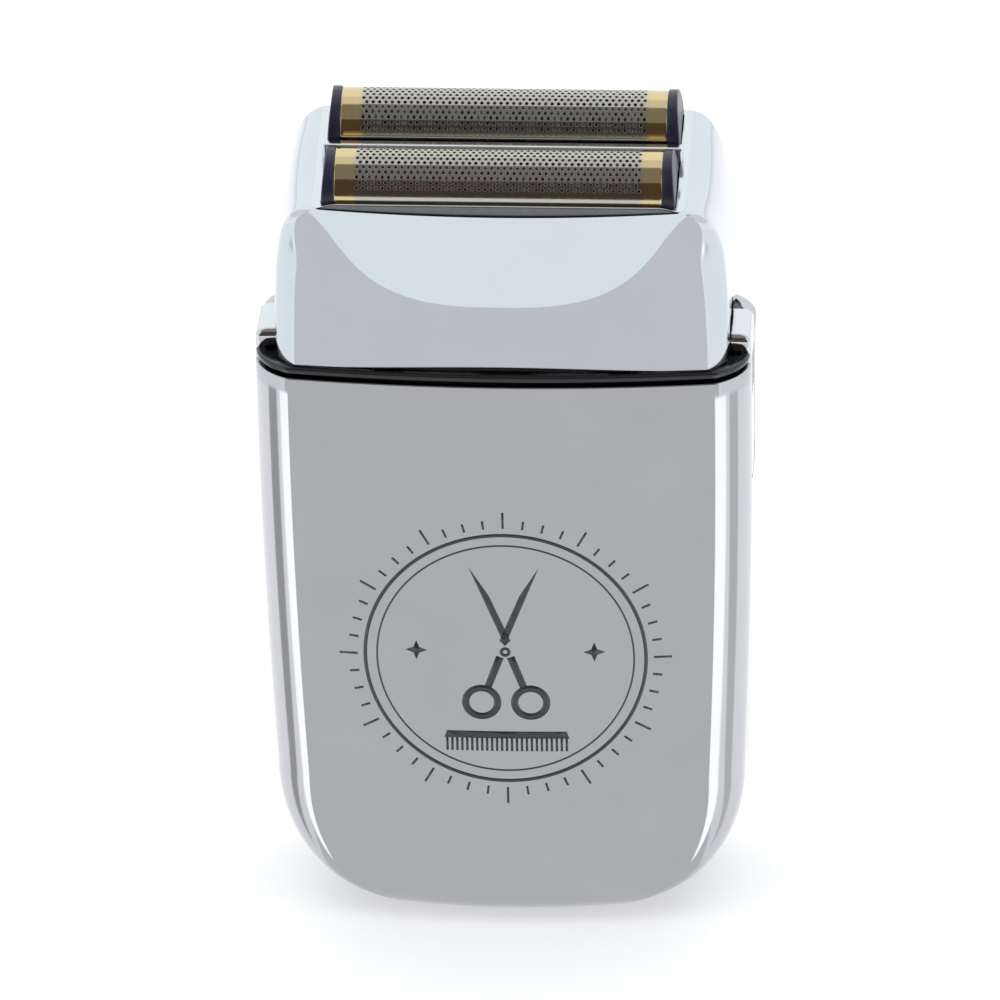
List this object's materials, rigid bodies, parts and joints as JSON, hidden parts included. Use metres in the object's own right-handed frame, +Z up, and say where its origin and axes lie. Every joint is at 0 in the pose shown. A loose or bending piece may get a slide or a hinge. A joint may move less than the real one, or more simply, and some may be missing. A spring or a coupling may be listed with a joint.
{
  "type": "foil shaver",
  "caption": "Cordless barber's foil shaver: flat metal-finish handle, lift-off head with twin gold perforated foils, side release buttons, sprung oscillating cutters.",
  "frame": {"origin": "middle of the flat foot that the shaver stands on", "axes": "+Z up along the handle towards the foils, front face towards -Y, +X to the right seen from the front"},
  "size_m": [0.068, 0.031, 0.1179],
  "materials": {
    "casing_metal": "satin silver plating over moulded casings",
    "bright_trim": "polished silver plating",
    "foil_gold": "thin gold titanium-coated foil",
    "navy_plastic": "dark navy moulded plastic",
    "black_seal": "glossy black",
    "black_plastic": "fine moulded texture",
    "steel": "plain bright steel",
    "spring_brass": "drawn wire",
    "white_plastic": "acetal",
    "battery_wrap": "shrink sleeve",
    "board_green": "solder mask",
    "light_lens": "clear-tinted lens"
  },
  "bodies": {
    "handle": {"front_shell": "casing_metal", "rear_shell": "casing_metal", "lower_left_shell_screw": "steel", "lower_right_shell_screw": "steel", "upper_left_shell_screw": "steel", "upper_right_shell_screw": "steel", "seal_ring": "black_seal", "top_plate": "black_plastic", "left_release_spring": "steel", "right_release_spring": "steel", "battery": "battery_wrap", "battery_cradle": "black_plastic", "left_battery_tab": "steel", "right_battery_tab": "steel", "circuit_board": "board_green", "switch_module": "black_plastic", "status_led": "white_plastic", "light_pipe": "light_lens", "charging_socket": "black_plastic", "motor_can": "steel", "motor_end_cap": "black_plastic", "motor_bracket": "steel", "front_motor_screw": "steel", "rear_motor_screw": "steel", "left_bracket_screw": "steel", "right_bracket_screw": "steel", "front_guide_rod": "steel", "rear_guide_rod": "steel"},
    "rotor": {"motor_shaft": "steel", "eccentric_cam": "white_plastic"},
    "bridge": {"oscillating_bridge": "white_plastic", "front_cutter_spring": "spring_brass", "rear_cutter_spring": "spring_brass"},
    "front_cutter_block": {"front_cutter": "steel"},
    "rear_cutter_block": {"rear_cutter": "steel"},
    "head": {"head_housing": "casing_metal", "foil_frame": "bright_trim"},
    "front_foil_unit": {"front_foil": "foil_gold", "front_foil_cradle": "navy_plastic"},
    "rear_foil_unit": {"rear_foil": "foil_gold", "rear_foil_cradle": "navy_plastic"},
    "left_button": {"left_release_button": "bright_trim"},
    "right_button": {"right_release_button": "bright_trim"},
    "slider": {"power_switch": "black_plastic"}
  },
  "joints": [
    {"name": "motor_spin", "type": "hinge", "parent": "handle", "child": "rotor", "pos_m": [0, 0, 0.08], "axis": [0, 0, 1], "continuous": true},
    {"name": "bridge_slide", "type": "slide", "parent": "handle", "child": "bridge", "axis": [1, 0, 0], "range_m": [-0.0012, 0.0012]},
    {"name": "head_lift", "type": "slide", "parent": "handle", "child": "head", "axis": [0, 0, 1], "range_m": [0, 0.03]},
    {"name": "front_foil_float", "type": "slide", "parent": "head", "child": "front_foil_unit", "axis": [0, 0, 1], "range_m": [-0.0012, 0], "stiffness_N_per_m": 600, "springref_m": 0.002},
    {"name": "rear_foil_float", "type": "slide", "parent": "head", "child": "rear_foil_unit", "axis": [0, 0, 1], "range_m": [-0.0012, 0], "stiffness_N_per_m": 600, "springref_m": 0.002},
    {"name": "front_cutter_float", "type": "slide", "parent": "bridge", "child": "front_cutter_block", "axis": [0, 0, 1], "range_m": [-0.0012, 0], "deforming": ["front_cutter_spring"]},
    {"name": "rear_cutter_float", "type": "slide", "parent": "bridge", "child": "rear_cutter_block", "axis": [0, 0, 1], "range_m": [-0.0012, 0], "deforming": ["rear_cutter_spring"]},
    {"name": "left_release_press", "type": "slide", "parent": "handle", "child": "left_button", "axis": [1, 0, 0], "range_m": [0, 0.0006], "stiffness_N_per_m": 800, "springref_m": -0.0015, "deforming": ["left_release_spring"]},
    {"name": "right_release_press", "type": "slide", "parent": "handle", "child": "right_button", "axis": [-1, 0, 0], "range_m": [0, 0.0006], "stiffness_N_per_m": 800, "springref_m": -0.0015, "deforming": ["right_release_spring"]},
    {"name": "power_slide", "type": "slide", "parent": "handle", "child": "slider", "axis": [0, 0, 1], "range_m": [0, 0.004]}
  ],
  "couplings": [
    {"joint": "front_cutter_float", "follows": "front_foil_float", "ratio": 1},
    {"joint": "rear_cutter_float", "follows": "rear_foil_float", "ratio": 1}
  ]
}
